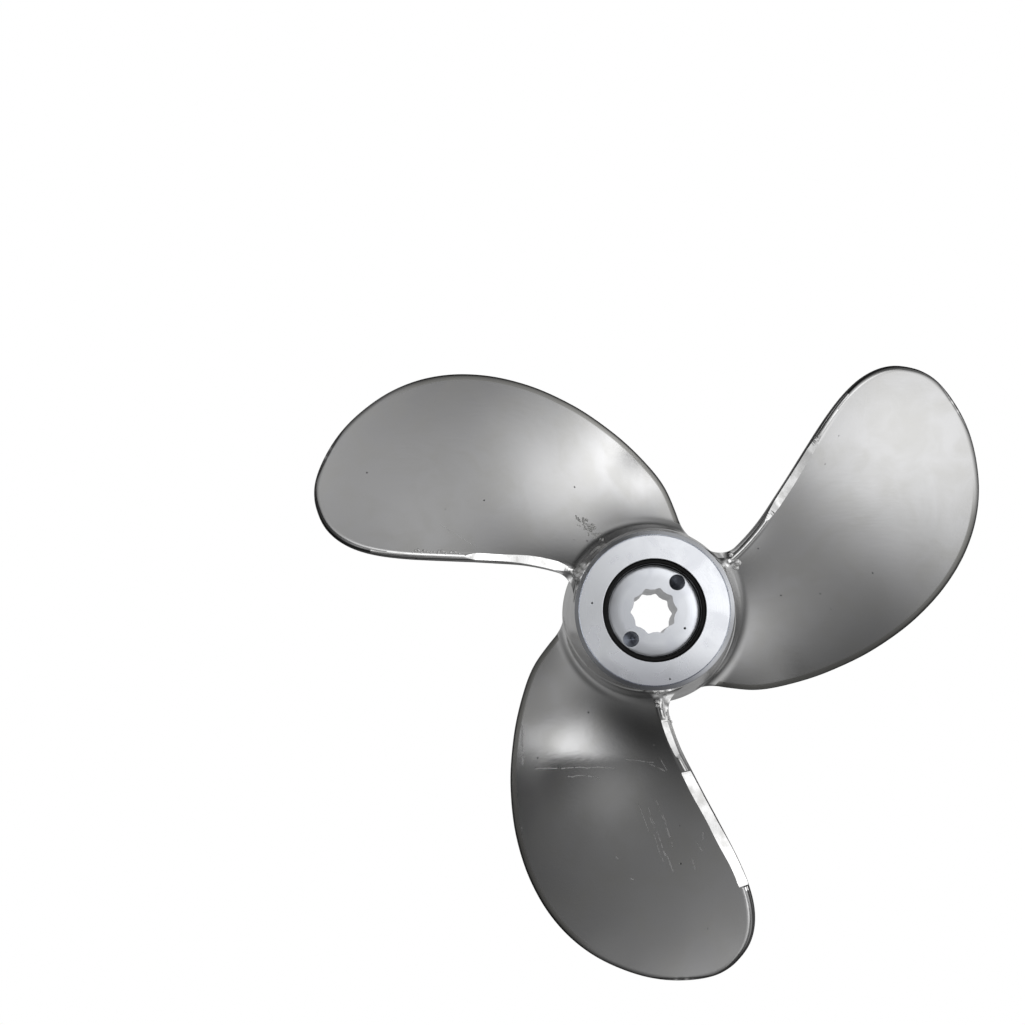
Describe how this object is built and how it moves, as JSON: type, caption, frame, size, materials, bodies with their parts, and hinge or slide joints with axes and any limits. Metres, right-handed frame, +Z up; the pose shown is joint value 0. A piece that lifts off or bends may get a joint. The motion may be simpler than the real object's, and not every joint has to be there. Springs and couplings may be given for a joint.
{
  "type": "outboard boat propeller",
  "caption": "Boat propeller with skewed, rounded blades on a tapered hub, a rubber bush and a splined insert that slides on the drive shaft.",
  "frame": {"origin": "middle of the forward hub face, on the shaft axis", "axes": "+Y forward along the shaft axis, +Z up in the picture, +X to the right as seen from aft"},
  "size_m": [0.1737, 0.054, 0.1583],
  "materials": {
    "cast_aluminium": "satin, blasted and lightly brushed",
    "bush_rubber": "matte black",
    "insert_steel": "turned satin"
  },
  "bodies": {
    "root": {"propeller_casting": "cast_aluminium", "rubber_bush": "bush_rubber", "splined_insert": "insert_steel"}
  },
  "joints": []
}
